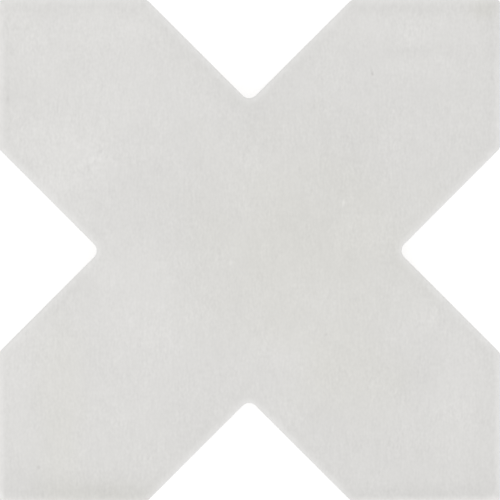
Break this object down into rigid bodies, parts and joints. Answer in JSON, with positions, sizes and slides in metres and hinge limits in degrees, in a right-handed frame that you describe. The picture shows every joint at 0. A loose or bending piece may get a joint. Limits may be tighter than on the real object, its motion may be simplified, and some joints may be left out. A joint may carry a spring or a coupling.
{
  "type": "cross tile",
  "caption": "Flat cross-shaped ceramic tile with a pale satin-matt glaze, pointed diagonal arms and a keyed back, laid between star tiles on a wall or floor.",
  "frame": {"origin": "middle of the back, on the plane that lies on the floor or in the adhesive bed", "axes": "+Z leaves the glazed face, X and Y run along the sides of the square that the tile fills, and the arms run along its diagonals"},
  "size_m": [0.12, 0.12, 0.009],
  "materials": {
    "tile": "satin"
  },
  "bodies": {
    "root": {"cross_tile": "tile"}
  },
  "joints": []
}
